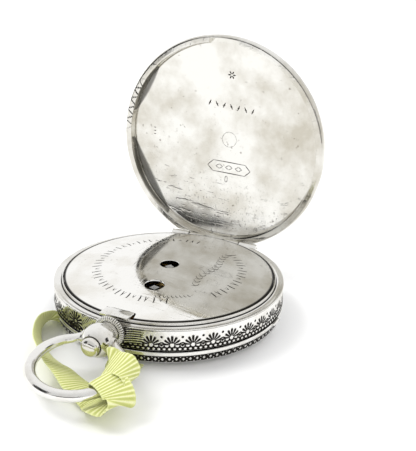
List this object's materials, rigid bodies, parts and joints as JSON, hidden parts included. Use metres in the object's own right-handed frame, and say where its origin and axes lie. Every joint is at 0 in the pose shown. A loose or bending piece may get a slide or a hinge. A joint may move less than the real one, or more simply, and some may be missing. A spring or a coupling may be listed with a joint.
{
  "type": "pocket watch",
  "caption": "Key-wind silver open-face pocket watch with hinged covers, ball pendant, bow and ribbon, lying on its glass with the back open.",
  "frame": {"origin": "centre of the crystal's outer flat, on the surface that the watch lies on", "axes": "+Z towards the back of the watch, -Y towards the pendant at 12 o'clock, +X towards 3 o'clock"},
  "size_m": [0.0518, 0.0761, 0.0571],
  "materials": {
    "silver": "polished and engraved silver, lightly tarnished",
    "steel": "polished steel",
    "blued_steel": "heat-blued steel",
    "gilt": "frosted gilding",
    "brass": "polished brass",
    "enamel": "white vitreous enamel",
    "glass": "clear polished glass",
    "ribbon": "ribbed grosgrain"
  },
  "bodies": {
    "case": {"case_band": "silver", "pendant_ball": "silver", "pendant_collar": "silver", "hinge_pin": "steel", "bezel_hinge_pin": "steel", "dial": "enamel", "main_plate": "gilt", "barrel_bridge": "gilt", "centre_bridge": "gilt", "third_cock": "gilt", "fourth_cock": "gilt", "escape_cock": "gilt", "balance_cock": "gilt", "bridge_screw_1": "blued_steel", "bridge_screw_2": "blued_steel", "bridge_screw_3": "blued_steel", "bridge_screw_4": "blued_steel", "bridge_screw_5": "blued_steel", "bridge_screw_6": "blued_steel", "bridge_screw_7": "blued_steel", "bridge_screw_8": "blued_steel"},
    "back_cover": {"back_cover": "silver"},
    "cuvette": {"cuvette": "silver"},
    "bezel": {"bezel": "silver", "crystal": "glass"},
    "bow": {"bow": "silver", "ribbon": "ribbon"},
    "push_button": {"push_button": "silver"},
    "lock_catch": {"lock_catch": "silver"},
    "centre": {"centre_wheel": "brass", "setting_arbor": "steel", "cannon_pinion": "steel", "minute_hand": "blued_steel"},
    "hour": {"hour_wheel": "brass", "hour_hand": "blued_steel"},
    "minute_wheel": {"minute_wheel": "brass"},
    "third_wheel": {"third_wheel": "brass"},
    "fourth": {"fourth_wheel": "brass", "seconds_hand": "blued_steel"},
    "escape_wheel": {"escape_wheel": "steel"},
    "barrel": {"barrel": "gilt", "mainspring": "steel"},
    "winding": {"barrel_arbor": "steel", "ratchet_wheel": "steel"},
    "click": {"click": "steel"},
    "pallet_fork": {"pallet_fork": "steel"},
    "balance": {"balance_wheel": "brass", "balance_staff": "steel", "hairspring": "blued_steel"}
  },
  "joints": [
    {"name": "back_cover_hinge", "type": "hinge", "parent": "case", "child": "back_cover", "pos_m": [0, 0.02357, 0.00854], "axis": [-1, 0, 0], "range_deg": [-91.76, 0]},
    {"name": "cuvette_hinge", "type": "hinge", "parent": "case", "child": "cuvette", "pos_m": [0, 0.02357, 0.00854], "axis": [-1, 0, 0], "range_deg": [0, 72]},
    {"name": "bezel_hinge", "type": "hinge", "parent": "case", "child": "bezel", "pos_m": [-0.0255, 0, 0.005], "axis": [0, 1, 0], "range_deg": [0, 85]},
    {"name": "bow_swing", "type": "hinge", "parent": "case", "child": "bow", "pos_m": [0, -0.02949, 0.00734], "axis": [-1, 0, 0], "range_deg": [-10, 100], "deforming": ["ribbon"]},
    {"name": "push_button_press", "type": "slide", "parent": "case", "child": "push_button", "axis": [0, 1, 0], "range_m": [0, 0.0008], "stiffness_N_per_m": 400},
    {"name": "lock_catch_slide", "type": "slide", "parent": "case", "child": "lock_catch", "axis": [0, 1, 0], "range_m": [0, 0.00048]},
    {"name": "centre_turn", "type": "hinge", "parent": "case", "child": "centre", "pos_m": [0, 0, 0.006], "axis": [0, 0, 1], "continuous": true},
    {"name": "hour_turn", "type": "hinge", "parent": "case", "child": "hour", "pos_m": [0, 0, 0.004], "axis": [0, 0, 1], "continuous": true},
    {"name": "minute_wheel_turn", "type": "hinge", "parent": "case", "child": "minute_wheel", "pos_m": [-0.00301, -0.00109, 0.0045], "axis": [0, 0, 1], "continuous": true},
    {"name": "third_turn", "type": "hinge", "parent": "case", "child": "third_wheel", "pos_m": [-0.00427, 0.0058, 0.007], "axis": [0, 0, 1], "continuous": true},
    {"name": "fourth_turn", "type": "hinge", "parent": "case", "child": "fourth", "pos_m": [0, 0.0105, 0.007], "axis": [0, 0, 1], "continuous": true},
    {"name": "escape_turn", "type": "hinge", "parent": "case", "child": "escape_wheel", "pos_m": [0.0044, 0.01277, 0.007], "axis": [0, 0, 1], "continuous": true},
    {"name": "barrel_turn", "type": "hinge", "parent": "case", "child": "barrel", "pos_m": [0.0016, -0.01, 0.007], "axis": [0, 0, 1], "continuous": true},
    {"name": "winding_turn", "type": "hinge", "parent": "case", "child": "winding", "pos_m": [0.0016, -0.01, 0.009], "axis": [0, 0, 1], "continuous": true},
    {"name": "click_swing", "type": "hinge", "parent": "case", "child": "click", "pos_m": [0.0093, -0.0142, 0.0093], "axis": [0, 0, 1], "range_deg": [0, 10]},
    {"name": "pallet_fork_swing", "type": "hinge", "parent": "case", "child": "pallet_fork", "pos_m": [0.007, 0.01029, 0.0068], "axis": [0, 0, 1], "range_deg": [-6, 6]},
    {"name": "balance_swing", "type": "hinge", "parent": "case", "child": "balance", "pos_m": [0.0115, 0.006, 0.0078], "axis": [0, 0, 1], "range_deg": [-120, 120], "deforming": ["hairspring"]}
  ],
  "couplings": [
    {"joint": "lock_catch_slide", "follows": "push_button_press", "ratio": 0.6},
    {"joint": "hour_turn", "follows": "centre_turn", "ratio": 0.083333},
    {"joint": "minute_wheel_turn", "follows": "centre_turn", "ratio": -0.33333},
    {"joint": "third_turn", "follows": "centre_turn", "ratio": -8},
    {"joint": "fourth_turn", "follows": "centre_turn", "ratio": 60},
    {"joint": "escape_turn", "follows": "centre_turn", "ratio": -480},
    {"joint": "barrel_turn", "follows": "centre_turn", "ratio": -0.16667}
  ]
}
